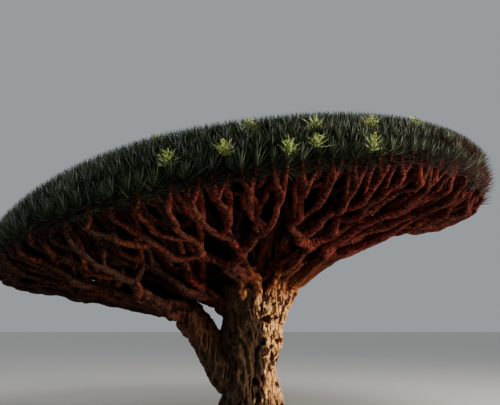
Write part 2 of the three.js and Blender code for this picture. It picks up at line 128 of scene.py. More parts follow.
# Trunk. A short stout stem of hard bark, with flutes that run up into the boughs, a waist, and five
# root swellings. Its folds are darkened with painted shade, and its right side is painted cream and
# orange as painted sunlight.
trunk_height = 2.62
trunk_waist = 0.46
root_flare, root_flare_height = 0.215, 0.24
shoulder_width, shoulder_from, shoulder_to = 0.26, 0.95, 2.4
trunk_lean = 0.095
head_height, head_radius, head_power = 0.42, 0.33, 1.5
flute_count, flute_depth, flute_twist = 7, 0.045, 0.7
root_count, root_depth, root_turn = 5, 0.13, 0.6
trunk_sides, trunk_rings = 288, 230
bark_plates = {"size": 0.12, "bend": 0.08, "bend_size": 0.16, "drawn": 1, "weight": 0.32}
bark_fibres = {"size": 0.05, "bend": 0.03, "bend_size": 0.1, "drawn": 2, "weight": 0.36}
knob_size, knob_weight = 0.06, 0.32
bark_stretch, bark_depth, bark_level = 3.2, 0.15, 0.62
lump_size, lump_depth = 0.42, 0.12
pit_size, pit_stretch = 0.08, 1.5
# The third weight lowers the relief in the hollows for their colour only, which paints shade into them.
hollow_depth, hollow_stretch, hollow_shade = 0.07, 1.3, 0.5
hollow_ragged, hollow_ragged_size = 0.9, 0.07
bark_hollows = [(-34, 1.72, 0.08), (-70, 1.38, 0.06), (-58, 1.02, 0.07), (-80, 0.7, 0.05), (118, 1.1, 0.08)]
broad_hollows = [(180, 1.9, 0.11), (0, 1.75, 0.06)]
broad_turn, broad_rise = 0.5, 0.3
column_turns, column_depth, column_width = [-93, -57, 60, 100], 0.1, 0.27
column_from, column_to = 1.3, 1.95
trunk_red_from, trunk_red_to = 2.35, 2.75
# The cream and orange tones are painted sunlight on the right side, and the near black end of the dark
# tones is painted shade in the folds.
trunk_tones = {
    "dark": [(0.004, 0.003, 0.002), (0.068, 0.036, 0.018)],
    "cream": [(0.17, 0.06, 0.022), (0.92, 0.56, 0.22)],
    "orange": [(0.07, 0.016, 0.006), (0.42, 0.14, 0.04)],
    "red": [(0.012, 0.005, 0.003), (0.09, 0.031, 0.014)],
}
moss_colour, blotch_colour = (0.03, 0.028, 0.013), (0.04, 0.01, 0.005)


def smooth_step(value, low, high):
    """0 below low, 1 above high, and 3t^2 - 2t^3 between them, t being the share of the way."""
    t = np.clip((value - low) / (high - low), 0, 1)
    return t * t * (3 - 2 * t)


def mixed(a, b, share):
    """The value at a share of the way from a to b."""
    return a + (b - a) * share


def scattered(phase):
    """A repeatable number from 0 to 1 for each phase: what is left of a large sine."""
    wave = np.sin(phase) * 43758.5453
    return wave - np.floor(wave)


def noise(points, size):
    """Value noise: a scattered number at each corner of a lattice of that size, blended smoothly."""
    place = points / size
    corner = np.floor(place)
    part = place - corner
    part = part * part * (3 - 2 * part)
    total = np.zeros(points.shape[:-1])
    for step in np.ndindex(2, 2, 2):
        weight = np.where(np.array(step) == 1, part, 1 - part).prod(axis=-1)
        total += weight * scattered((corner + step) @ np.array([12.9898, 78.233, 37.719]))
    return total


def ridges(points, size):
    """Sharp crests from 0 to 1: one less twice the distance of the noise from its middle value."""
    return 1 - np.abs(2 * noise(points, size) - 1)


def trunk_radius(height, angle):
    """The solid's radius: waist, flare exp(-h / flare height), shoulder, closed head, flutes, roots."""
    foot = np.exp(-height / root_flare_height)
    shoulder = shoulder_width * smooth_step(height, shoulder_from, shoulder_to)
    full = trunk_waist + root_flare * foot + shoulder
    head = smooth_step(height, trunk_height - head_height, trunk_height) ** head_power
    flutes = flute_depth * np.cos(flute_count * angle + height / flute_twist)
    roots = root_depth * foot * np.cos(root_count * angle + root_turn)
    return mixed(full, head_radius, head) * (1 + flutes + roots)


def trunk_points(height, angle, radius):
    """Places at a radius from the trunk's middle line, which leans to the right as it rises."""
    middle = trunk_lean * smooth_step(height, shoulder_from, shoulder_to)
    return np.stack([middle + radius * np.cos(angle), radius * np.sin(angle), height], -1)


def turned_from(angle, degrees):
    """The angle left from a direction in degrees, between minus and plus half a turn."""
    return np.angle(np.exp(1j * (angle - np.radians(degrees))))


def bark_relief(points, stretch):
    """Plates between cracks, drawn out along the stem by the stretch and bent by noise, with finer
    fibres and knobs on them. From 0 in the cracks to 1."""
    relief = 0
    for fold in (bark_plates, bark_fibres):
        bend = fold["bend"] * noise(points, fold["bend_size"])[..., None]
        places = points / np.array([1, 1, fold["drawn"] * stretch]) + bend
        relief = relief + fold["weight"] * ridges(places, fold["size"])
    knobs = 0.6 * noise(points + 7, knob_size) + 0.4 * noise(points + 3, knob_size / 2)
    return relief + knob_weight * knobs


def tube_faces(rings, sides, tubes=1):
    """Triangles of tubes whose rings are closed round and whose two ends are fans to a middle point."""
    ring, side = np.meshgrid(np.arange(rings - 1), np.arange(sides), indexing="ij")
    a, b = ring * sides + side, ring * sides + (side + 1) % sides
    c, d = b + sides, a + sides
    start, end = np.full(sides, rings * sides), np.full(sides, rings * sides + 1)
    threes = [(a, b, c), (a, c, d), (start, b[0], a[0]), (end, d[-1], c[-1])]
    one = np.concatenate([np.stack(three, -1).reshape(-1, 3) for three in threes])
    return (one[None] + (np.arange(tubes) * (rings * sides + 2))[:, None, None]).reshape(-1, 3)


def tube_corners(grid):
    """The places or values of tubes' corners from a grid of tube, ring and side: those of the rings, and
    then the middles of both ends."""
    start, end = grid[:, 0].mean(axis=1), grid[:, -1].mean(axis=1)
    rings = grid.reshape(len(grid), -1, *grid.shape[3:])
    return np.concatenate([rings, start[:, None], end[:, None]], axis=1).reshape(-1, *grid.shape[3:])


def flat(values, kind=np.float32):
    """The values in one row, as a mesh takes them."""
    return np.ascontiguousarray(values, dtype=kind).ravel()


def add_piece(name, points, triangles, materials, nodes, values=None, kinds=None, smooth=True):
    """A mesh object from arrays of corners and triangles, which stands for nodes of the solids. The
    values are stored at its corners, and the kinds are the numbers of its triangles' materials."""
    mesh = bpy.data.meshes.new(name)
    mesh.vertices.add(len(points))
    mesh.vertices.foreach_set("co", flat(points))
    mesh.loops.add(triangles.size)
    mesh.loops.foreach_set("vertex_index", flat(triangles, np.int32))
    mesh.polygons.add(len(triangles))
    mesh.polygons.foreach_set("loop_start", np.arange(0, triangles.size, 3, dtype=np.int32))
    for attribute, value in (values or {}).items():
        kind, field = ("FLOAT", "value") if value.ndim == 1 else ("FLOAT_VECTOR", "vector")
        mesh.attributes.new(attribute, kind, "POINT").data.foreach_set(field, flat(value))
    for material in materials:
        mesh.materials.append(material)
    if kinds is not None:
        mesh.polygons.foreach_set("material_index", flat(kinds, np.int32))
    mesh.update(calc_edges=True)
    if smooth:
        mesh.shade_smooth()
    piece = placed(name, mesh)
    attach(piece, "root")
    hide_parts(*nodes)


def worked(bark, operation, first, second, clamp=False):
    """The outcome of a sum on a bark's nodes: each side is a socket or a number."""
    made = bark.node_tree.nodes.new("ShaderNodeMath")
    made.operation = operation
    made.use_clamp = clamp
    fill(bark, made, {0: first, 1: second})
    return made.outputs["Value"]


def product(bark, first, second):
    """One socket times another, or times a number."""
    return worked(bark, "MULTIPLY", first, second)


def weighed(bark, first, first_weight, second, second_weight):
    """The sum of two sockets, each times its weight."""
    return worked(bark, "ADD", product(bark, first, first_weight), product(bark, second, second_weight))


def between(bark, value, low, high):
    """0 below low and 1 above high, smooth between them. With low above high it falls instead."""
    made = bark.node_tree.nodes.new("ShaderNodeMapRange")
    made.interpolation_type = "SMOOTHSTEP"
    fill(bark, made, {"Value": value, "From Min": low, "From Max": high})
    return made.outputs["Result"]


def blended(bark, first, second, share):
    """A colour at a share of the way from the first to the second, each a socket or plain numbers."""
    made = bark.node_tree.nodes.new("ShaderNodeMix")
    made.data_type = "RGBA"
    pair = [(*colour, 1) if isinstance(colour, tuple) else colour for colour in (first, second)]
    # The node's sockets for colours are its inputs 6 and 7 and its output 2.
    fill(bark, made, {0: share, 6: pair[0], 7: pair[1]})
    return made.outputs[2]


def noise_in(bark, coordinates, scale, detail, stretch=1):
    """The output of a noise pattern of that scale on coordinates, drawn out upwards by the stretch."""
    drawn = bark.node_tree.nodes.new("ShaderNodeMapping")
    fill(bark, drawn, {"Vector": coordinates, "Scale": (1, 1, 1 / stretch)})
    made = bark.node_tree.nodes.new("ShaderNodeTexNoise")
    fill(bark, made, {"Vector": drawn.outputs["Vector"], "Scale": scale, "Detail": detail})
    return made.outputs["Fac"]


def apart(bark, vector):
    """The three numbers of a vector."""
    made = bark.node_tree.nodes.new("ShaderNodeSeparateXYZ")
    fill(bark, made, {"Vector": vector})
    return made.outputs


def object_coordinates(bark):
    """The piece's own coordinates."""
    return bark.node_tree.nodes.new("ShaderNodeTexCoord").outputs["Object"]


def attribute(bark, name, output="Fac"):
    """A number, or with the output Vector a place, stored at each corner of the mesh."""
    made = bark.node_tree.nodes.new("ShaderNodeAttribute")
    made.attribute_name = name
    return made.outputs[output]


def finished(bark, colour, height, distance):
    """The bark with that colour, and with a fine bump of that height and distance in metres."""
    bump = bark.node_tree.nodes.new("ShaderNodeBump")
    fill(bark, bump, {"Strength": 0.8, "Distance": distance, "Height": height})
    fill(bark, shader_of(bark), {"Base Color": colour, "Normal": bump.outputs["Normal"]})
    return bark


def trunk_bark_material(name, red_from, red_to):
    """Near black folds, darkened as painted shade, and dark brown plates, mossy in patches. On the right
    side they are painted cream as sunlight, with red-brown blotches; higher up this painted sunlit side
    turns orange, and the rest turns red between two heights."""
    bark = plain_material(name, (0.1, 0.08, 0.06), 0.92, 0.2)
    coordinates = object_coordinates(bark)
    x, _, z = apart(bark, coordinates)
    patches = noise_in(bark, coordinates, 4, 5)
    fibres = noise_in(bark, coordinates, 32, 5, 5)
    rough = weighed(bark, fibres, 0.5, attribute(bark, "relief"), 0.7)
    rise = weighed(bark, z, 1, patches, 0.5)
    # Where the relief is low the folds are near black: painted shade.
    dark = blended(bark, *trunk_tones["dark"], between(bark, rough, 0.48, 0.8))
    mossy = blended(bark, dark, moss_colour, between(bark, patches, 0.5, 0.75))
    red = blended(bark, *trunk_tones["red"], between(bark, rough, 0.46, 0.78))
    plain = blended(bark, mossy, red, between(bark, rise, red_from, red_to))
    streaks = between(bark, fibres, 0.38, 0.64)
    # The cream and the orange are painted sunlight on the right side.
    cream = blended(bark, *trunk_tones["cream"], streaks)
    orange = blended(bark, *trunk_tones["orange"], streaks)
    sunlit_side = blended(bark, cream, orange, between(bark, rise, red_from - 0.35, red_to))
    spots = weighed(bark, noise_in(bark, coordinates, 7, 3, 1.6), 1, rough, 0.35)
    sunlit_side = blended(bark, blotch_colour, sunlit_side, between(bark, spots, 0.68, 0.75))
    # The reach sets where the painted sunlit side begins, from the right: its edge moves right at the waist
    # and left higher up.
    waist = product(bark, between(bark, z, 0.9, 1.25), between(bark, z, 1.85, 1.5))
    shift = weighed(bark, waist, -0.1, between(bark, z, 1.7, 2.0), 0.08)
    reach = weighed(bark, weighed(bark, x, 1, patches, 0.6), 1, shift, 1)
    colour = blended(bark, plain, sunlit_side, between(bark, reach, 0.42, 0.52))
    return finished(bark, colour, fibres, 0.03)


def cut_hollows(height, angle, radius, plain):
    """Where the bark is hollow, from 0 to 1: small pits on the right side, and a few ragged holes given
    by their direction in degrees, height and size."""
    pits = smooth_step(noise(plain / np.array([1, 1, pit_stretch]) + 5, pit_size), 0.68, 0.9)
    hollows = pits * smooth_step(plain[..., 0], 0.0, 0.2)
    for degrees, level, size in bark_hollows:
        across = radius * turned_from(angle, degrees)
        far = np.hypot(across / size, (height - level) / (hollow_stretch * size))
        far = far + hollow_ragged * (noise(plain, hollow_ragged_size) - 0.5)
        hollows = np.maximum(hollows, 1 - smooth_step(far, 0.6, 1.05))
    return hollows


def swellings(height, angle):
    """What broad shallow hollows take from the trunk's radius, and low columns that run up into the
    boughs add to it, each a bell curve round its own direction."""
    swell = np.zeros_like(height)
    for degrees, level, depth in broad_hollows:
        away = turned_from(angle, degrees) / broad_turn
        swell -= depth * np.exp(-(away**2) - ((height - level) / broad_rise) ** 2)
    rise = smooth_step(height, column_from, column_to) * (1 - smooth_step(height, column_to, trunk_height))
    for degrees in column_turns:
        swell += column_depth * np.exp(-((turned_from(angle, degrees) / column_width) ** 2)) * rise
    return swell


def add_trunk_bark(name, points, relief, red_from, red_to, nodes):
    """One tube in the trunk's bark, from a grid of places and their relief."""
    faces, values = tube_faces(*relief.shape), {"relief": tube_corners(relief[None])}
    bark = trunk_bark_material(name, red_from, red_to)
    add_piece(name, tube_corners(points[None]), faces, [bark], nodes, values)


def make_trunk():
    """The trunk's surface: level rings of the solid's radius, with lumps, relief, hollows and columns."""
    heights = np.linspace(0, trunk_height, trunk_rings)
    angles = np.linspace(-np.pi, np.pi, trunk_sides, endpoint=False)
    height, angle = np.meshgrid(heights, angles, indexing="ij")
    radius = trunk_radius(height, angle)
    plain = trunk_points(height, angle, radius)
    relief = bark_relief(plain, bark_stretch)
    hollows = cut_hollows(height, angle, radius, plain)
    lumps = lump_depth * (noise(plain, lump_size) - 0.5)
    radius = radius + lumps + bark_depth * (relief - bark_level) - hollow_depth * hollows
    points = trunk_points(height, angle, radius + swellings(height, angle))
    # The hollows' relief is lowered after the shape is made, so their colour is darkened: painted shade.
    relief = np.clip(relief - hollow_shade * hollows, 0, 1)
    add_trunk_bark("trunk_bark", points, relief, trunk_red_from, trunk_red_to, ["trunk"])


make_trunk()


# Left stem. A low heavy stem that leaves the trunk's left side near the ground, leans far out, and
# carries the left rim of the crown. It has the trunk's bark, which turns red towards its tip.
stem_route = np.array([
    (-0.19, -0.04, 0.56), (-0.45, -0.06, 0.88), (-0.64, -0.06, 1.19), (-0.83, -0.06, 1.5),
    (-1.1, -0.05, 1.88),
])
stem_radius, stem_tip_radius = 0.29, 0.215
stem_tip_start, stem_tip_draw = 0.95, 0.3
stem_bark_stretch, stem_bark_level, stem_lump_size = 2.4, 0.5, 0.4
stem_sides, stem_rings = 160, 170
stem_red_from, stem_red_to = 1.2, 1.9


def row_times(vectors, factors):
    """Each vector times its own factor."""
    return vectors * factors[..., None]


def unit(vectors):
    """The vectors at length 1."""
    return vectors / np.maximum(np.linalg.norm(vectors, axis=-1, keepdims=True), 1e-9)


def smooth_route(corners, count):
    """A curve through the corners: on each stretch the cubic whose end slopes are those of the chord
    from the corner before to the corner after, weighted by the square roots of the chords."""
    padded = np.concatenate([[2 * corners[0] - corners[1]], corners, [2 * corners[-1] - corners[-2]]])
    gap = np.sqrt(np.linalg.norm(np.diff(padded, axis=0), axis=1))
    place = np.linspace(0, len(corners) - 1, count)
    stretch = np.minimum(place.astype(int), len(corners) - 2)
    before, here, ahead, beyond = (padded[stretch + step] for step in range(4))
    gap_in, gap_on, gap_out = (gap[stretch + step][:, None] for step in range(3))
    chord = ahead - here
    slope_here = gap_on * ((here - before) / gap_in - (ahead - before) / (gap_in + gap_on)) + chord
    slope_ahead = gap_on * ((beyond - ahead) / gap_out - (beyond - here) / (gap_on + gap_out)) + chord
    t = (place - stretch)[:, None]
    return (
        (2 * t**3 - 3 * t**2 + 1) * here + (t**3 - 2 * t**2 + t) * slope_here
        + (3 * t**2 - 2 * t**3) * ahead + (t**3 - t**2) * slope_ahead
    )


def along_of(points):
    """The distance along each route from its start to each of its points."""
    step = np.linalg.norm(np.diff(points, axis=-2), axis=-1)
    return np.concatenate([np.zeros(step.shape[:-1] + (1,)), np.cumsum(step, axis=-1)], axis=-1)


def rings_round(points, radius, across, sides):
    """Rings carried along routes, and the directions outwards on them: each ring is turned from the
    level direction across, and square to its route."""
    along = unit(np.gradient(points, axis=-2))
    side = unit(across[..., None, :] - row_times(along, (along * across[..., None, :]).sum(-1)))
    other = np.cross(along, side)
    turn = np.linspace(0, 2 * np.pi, sides, endpoint=False)
    ring = side[..., None, :] * np.cos(turn)[:, None] + other[..., None, :] * np.sin(turn)[:, None]
    return points[..., None, :] + ring * radius[..., None, None], ring


def make_left_stem():
    """The stem's surface: rings along its route, drawn in at the tip, with relief like the trunk's."""
    route = smooth_route(stem_route, stem_rings)
    share = along_of(route) / along_of(route)[-1]
    drawn_in = 1 - stem_tip_draw * smooth_step(share, stem_tip_start, 1)
    radius = mixed(stem_radius, stem_tip_radius, share) * drawn_in
    plain, ring = rings_round(route, radius, np.array([0.0, 1.0, 0.0]), stem_sides)
    relief = bark_relief(plain, stem_bark_stretch)
    lumps = lump_depth * (noise(plain, stem_lump_size) - 0.5) + bark_depth * (relief - stem_bark_level)
    points = plain + row_times(ring, lumps)
    add_trunk_bark("left_stem_bark", points, relief, stem_red_from, stem_red_to, ["left_stem"])


make_left_stem()


# Boughs and limbs. Eleven boughs leave the trunk's head and the left stem's tip, and each forks into
# two limbs. Their red-brown bark has a scar round it wherever a ring of leaves once grew.
crown_centre = -0.18
crown_reach_x, crown_reach_y = 4.42, 4.35
rim_height, dome_rise = 3.51, 1.47
rim_slope_x, rim_slope_y, left_droop = 0.163, 0.025, 0.0125
dome_bluntness, left_bulge, dome_roundness, side_inset = 2.48, 1.5, 0.62, 0.6
hub_share, centre_share, left_inner_share = 0.012, 0.3, 0.6
ring_count, ring_angle = 6, math.radians(40)
left_count, left_angle = 2, math.radians(60)
ring_seat_height, ring_seat_radius, ring_arch = 2.06, 0.39, 0.62
middle_seat_height, middle_arch = 2.4, 1.0
left_seat_height, left_seat_shift, left_arch, stem_arch, seat_side_step = 1.98, 0.33, 1.8, 1.25, 0.13
first_bough_number = 16
fork_shares = [0, 0.14, 0.31, 0.4, 0.49, 0.59, 0.71, 0.85, 1]
limb_girth, girth_power, tip_share = 0.178, -0.79, 0.86
base_flare, flare_end, fork_swell, fork_swell_from = 0.14, 0.35, 0.1, 0.7
bough_start, bough_start_end, close_start, close_draw = 0.55, 0.3, 0.9, 0.45
end_bends, fine_end_bends, fine_level = [25, 50, 72], [50], 5
splay, sunk = 0.8, 0.6
aim_scatter, rim_reach, rim_pull, rim_sharpness = 0.3, 0.985, 0.62, 6
knee_share, knee_depth, knee_slack, knee_out_left, knee_out_right = 0.86, 0.46, 0.6, 0.14, 0.05
knee_least, knee_most = 0.4, 1.18
bend_share, bend_pull, bend_pull_rim = 0.62, 0.8, 1.3
route_sway = 0.09
edge_drop, edge_from, edge_to, edge_right_from, edge_right_to = 0.5, 0.9, 0.97, 0.5, 0.95
twig_inset = 0.36
scar_spacing, scar_weight, strand_count, strand_depth = 0.055, 0.3, 4, 0.2
ridge_depth, ridge_level, limb_lump_depth, limb_lump_size = 0.8, 0.58, 0.45, 0.19
bough_relief = 1.1
# The left tones are darker, partly as painted shade, and the orange tones are painted sunlight on the
# boughs next to the trunk.
limb_tones = {
    "right": [(0.015, 0.004, 0.003), (0.075, 0.014, 0.008)],
    "left": [(0.008, 0.004, 0.003), (0.044, 0.016, 0.008)],
    "low_sunlit_orange": [(0.08, 0.018, 0.007), (0.6, 0.28, 0.09)],
    "high_sunlit_orange": [(0.025, 0.006, 0.004), (0.2, 0.045, 0.013)],
}
# The rim colour is painted shade at the far right rim.
rim_shade_colour, low_brown, pale_fleck = (0.012, 0.004, 0.003), (0.045, 0.02, 0.009), (0.12, 0.045, 0.025)
# The crevice colour is painted shade in the crevices.
crevice_shade_colour, scar_colour = (0.005, 0.002, 0.0015), (0.015, 0.005, 0.003)


def chance(number, salt):
    """A repeatable number from 0 to 1 for one branch and one purpose."""
    return scattered(number * 12.9898 + salt * 78.233)


def outward(azimuth):
    """The level direction outwards at an azimuth."""
    return np.stack([np.cos(azimuth), np.sin(azimuth), np.zeros_like(azimuth)], -1)


def spread_of(share):
    """The part of the crown's reach at a share: even steps, drawn together at the rim."""
    return share * (1.1 - 0.1 * share**8)


def rim_surface(x, y):
    """The height of the tilted rim at a place measured from the crown's centre."""
    return rim_height + rim_slope_x * x + rim_slope_y * y - left_droop * np.minimum(x, 0) ** 2


def dome_height(spread, inset, x):
    """The dome's height above the rim surface for a shell that lies inset from the outer one. It is
    blunter towards the left."""
    bluntness = dome_bluntness + left_bulge * np.clip(-x / crown_reach_x, 0, 1)
    return (dome_rise - inset) * np.maximum(0, 1 - spread**bluntness) ** dome_roundness


def canopy(share, azimuth, inset):
    """A point of the crown, from its share of the reach, its azimuth and its inset."""
    spread = spread_of(share)
    x = (crown_reach_x - side_inset * inset) * spread * np.cos(azimuth)
    y = (crown_reach_y - side_inset * inset) * spread * np.sin(azimuth)
    return np.stack([crown_centre + x, y, rim_surface(x, y) + dome_height(spread, inset, x)], -1)


def numbered_cells(rows, first_number):
    """Cells of the crown, numbered in order, from rows of the inner and outer share, the start and end
    azimuth, and the seat and arch of the limb that fills each."""
    table = np.array(rows, float)
    cells = {name: table[:, k] for k, name in enumerate(["inner", "outer", "start", "end"])}
    number = first_number + np.arange(len(rows))
    return {**cells, "seat": table[:, 4:7], "arch": table[:, 7], "number": number}


def seat_round(radius, azimuth, height):
    """A seat on the trunk's head, at a radius and an azimuth from its middle."""
    return trunk_lean + radius * math.cos(azimuth), radius * math.sin(azimuth), height


def bough_cells():
    """The boughs' cells: six round the trunk's head, two times two on the left, and one over the trunk."""
    rows = []
    for i in range(ring_count):
        start = (i - ring_count / 2) * ring_angle
        seat = seat_round(ring_seat_radius, start + ring_angle / 2, ring_seat_height)
        rows.append((centre_share, 1, start, start + ring_angle, *seat, ring_arch))
    for i in range(left_count):
        start = math.pi + (i - left_count / 2) * left_angle
        aside = seat_side_step * (1 - 2 * i)
        outer_seat = stem_route[-1] + (0, aside, 0)
        rows.append((left_inner_share, 1, start, start + left_angle, *outer_seat, stem_arch))
        inner_seat = (trunk_lean - left_seat_shift, aside, left_seat_height)
        rows.append((centre_share, left_inner_share, start, start + left_angle, *inner_seat, left_arch))
    middle_seat = (trunk_lean, 0, middle_seat_height)
    rows.append((hub_share, centre_share, -math.pi, math.pi, *middle_seat, middle_arch))
    return numbered_cells(rows, first_bough_number)


def middle_of(cells):
    """The share that halves each cell's area, and the azimuth that halves its angle."""
    return np.sqrt((cells["inner"] ** 2 + cells["outer"] ** 2) / 2), (cells["start"] + cells["end"]) / 2


def halve(cells):
    """The forking rule: each cell is halved across its longer side, one half for each branch."""
    share, azimuth = middle_of(cells)
    long = cells["outer"] - cells["inner"] > share * (cells["end"] - cells["start"])
    first = {**cells, "number": 2 * cells["number"]}
    first["outer"] = np.where(long, share, cells["outer"])
    first["end"] = np.where(long, cells["end"], azimuth)
    second = {**cells, "number": 2 * cells["number"] + 1}
    second["inner"] = np.where(long, share, cells["inner"])
    second["start"] = np.where(long, cells["start"], azimuth)
    pairs = {name: np.stack([first[name], second[name]], 1) for name in cells}
    return {name: pair.reshape(-1, *pair.shape[2:]) for name, pair in pairs.items()}


def aim_of(cells):
    """Each cell's own aim: its middle, or nearer the rim for a cell at the rim, moved by chance."""
    share, azimuth = middle_of(cells)
    share = np.where(cells["outer"] == 1, mixed(share, rim_reach, rim_pull), share)
    room = np.minimum(cells["outer"] - cells["inner"], rim_reach - share)
    turn = (chance(cells["number"], 2) - 0.5) * aim_scatter * (cells["end"] - cells["start"])
    return share + (chance(cells["number"], 1) - 0.5) * aim_scatter * room, azimuth + turn


def tips_and_knees(cells):
    """The end of each limb's way under the leaves, the knee below it, and how far the way sags at the
    right rim. Each knee lies deeper or less deep by chance, and some tips at the right edge hang."""
    aim, azimuth = aim_of(cells)
    rim = aim**rim_sharpness
    tip = canopy(aim, azimuth, twig_inset)
    knee_out = mixed(knee_out_left, knee_out_right, (1 + np.cos(azimuth)) / 2)
    knee = tip + row_times(outward(azimuth), knee_out * rim)
    own = mixed(knee_least, knee_most, (chance(cells["number"], 19) + chance(cells["number"] // 4, 19)) / 2)
    slack = own * knee_slack * (rim * np.maximum(np.cos(azimuth), 0)) ** 2
    knee[:, 2] -= knee_depth * own
    right = smooth_step(np.cos(azimuth), edge_right_from, edge_right_to)
    edge = smooth_step(aim, edge_from, edge_to) * right
    tip[:, 2] -= edge_drop * edge * chance(cells["number"], 16)
    return tip, knee, slack, rim


def way_point(cells, share):
    """The point a share of the way from the seats to the tips: an arch out towards the knee, then a
    bend up into the leaves, drawn to the knee by a weight that is largest at the rim."""
    tip, knee, slack, rim = tips_and_knees(cells)
    part = min(share, bend_share) / knee_share
    point = mixed(cells["seat"], knee, part)
    point[:, 2] = mixed(cells["seat"][:, 2], knee[:, 2], part ** cells["arch"]) - slack * part**3
    knee[:, 2] -= slack
    turn = max(share - bend_share, 0) / (1 - bend_share)
    pull = 2 * turn * (1 - turn) * mixed(bend_pull, bend_pull_rim, rim)[:, None]
    whole = (1 - turn) ** 2 + pull + turn**2
    return ((1 - turn) ** 2 * point + pull * knee + turn**2 * tip) / whole


def way_direction(cells, share):
    """The direction of growth at that point."""
    return unit(way_point(cells, min(share + 0.02, 1)) - way_point(cells, max(share - 0.02, 0)))


def limb_routes(starts, parent_directions, cells, share, count):
    """Each limb's route, a cubic curve on four points: it leaves its parent splayed to its own side,
    and ends as it grows. Both handles are a third of the chord long. A bow and a wave by chance, in
    proportion to the chord and nothing at the ends, make it uneven."""
    ends = way_point(cells, share)
    chord = ends - starts
    third = np.linalg.norm(chord, axis=-1) / 3
    away = unit(chord)
    sideways = away - row_times(parent_directions, (away * parent_directions).sum(-1))
    leave, arrive = unit(away + splay * sideways), way_direction(cells, share)
    corners = [starts, starts + row_times(leave, third), ends - row_times(arrive, third), ends]
    t = np.linspace(0, 1, count)
    weights = [(1 - t) ** 3, 3 * t * (1 - t) ** 2, 3 * t**2 * (1 - t), t**3]
    routes = sum(weight[:, None] * corner[:, None] for weight, corner in zip(weights, corners))
    bow = np.stack([chance(cells["number"], salt) - 0.5 for salt in (12, 13, 14)], -1)
    wave = np.sin(2 * np.pi * t) * chance(cells["number"], 15)[:, None] + np.sin(np.pi * t)
    return routes + row_times(bow, 3 * third)[:, None] * route_sway * wave[..., None]


def girth_of(level):
    """The radius at the start of a limb of a level."""
    return limb_girth * level**girth_power


def limb_radius(level, share):
    """The radius at a share of a limb's length: it tapers from a flared base and swells at the fork. A
    bough's is drawn in at its start, inside the trunk, and at its end, inside the fork."""
    radius = girth_of(level) * mixed(1, tip_share, share)
    radius = radius * (1 + base_flare * (1 - smooth_step(share, 0, flare_end)))
    if level > 1:
        return radius * (1 + fork_swell * smooth_step(share, fork_swell_from, 1))
    radius = radius * (1 - close_draw * smooth_step(share, close_start, 1))
    return radius * mixed(bough_start, 1, smooth_step(share, 0, bough_start_end))


def limb_surfaces(routes, cells, level, sides, relief_depth):
    """Tubes with round ends along the routes, with ring scars, fibres and knobs. Also gives each
    corner's unrolled place, with the distance along the limb in its z, and its relief."""
    radius = limb_radius(level, np.linspace(0, 1, routes.shape[1]))
    bend = np.radians(end_bends if level < fine_level else fine_end_bends)
    first, last = unit(routes[:, 0] - routes[:, 1]), unit(routes[:, -1] - routes[:, -2])
    head = routes[:, :1] + first[:, None] * (radius[0] * np.sin(bend[::-1]))[:, None]
    tail = routes[:, -1:] + last[:, None] * (radius[-1] * np.sin(bend))[:, None]
    points = np.concatenate([head, routes, tail], axis=1)
    radius = np.concatenate([radius[0] * np.cos(bend[::-1]), radius, radius[-1] * np.cos(bend)])
    across = outward(middle_of(cells)[1] + np.pi / 2)
    plain, ring = rings_round(points, radius, across, sides)
    along = along_of(points) + 3 * chance(cells["number"], 3)[:, None]
    turn = np.linspace(0, 2 * np.pi, sides, endpoint=False)
    level_ring = girth_of(level) * outward(turn)[None, None]
    unrolled = level_ring + np.array([0, 0, 1]) * along[..., None, None]
    scars = np.abs(np.cos(np.pi * along / scar_spacing + 4 * noise(points, 0.2)))[..., None] ** 0.5
    strands = np.cos(strand_count * turn + 6 * noise(unrolled / np.array([1, 1, 4]), 0.3))
    lumps = noise(plain, limb_lump_size) - 0.5
    old = np.clip(1.5 - 0.5 * level, 0, 1)
    relief = mixed(bark_relief(unrolled, 1.5), scars, scar_weight * (1 - old)) + 0.16 * old * strands
    height = ridge_depth * (relief - ridge_level) + limb_lump_depth * lumps + strand_depth * old * strands
    height = relief_depth * radius[:, None] * height
    return plain + row_times(ring, height), unrolled, relief


def scar_bands(bark, unrolled, twist):
    """0 on the thin line of each leaf scar round a limb, and 1 between two of them. The lines wander
    with the twist, and fade out where it is low."""
    turn = weighed(bark, apart(bark, unrolled)["Z"], np.pi / scar_spacing, twist, 14.0)
    line = worked(bark, "ABSOLUTE", worked(bark, "COSINE", turn, 0), 0)
    return worked(bark, "MAXIMUM", line, between(bark, twist, 0.6, 0.42))


def rim_shade(bark, x):
    """The share of shade on the wood, which is darker at the far right rim."""
    return product(bark, between(bark, x, 2, 3.8), 0.5)


def flecks_in(bark, coordinates):
    """1 on the small pale flecks of the limbs and twigs, and 0 between them."""
    return between(bark, noise_in(bark, coordinates, 36, 3), 0.58, 0.68)


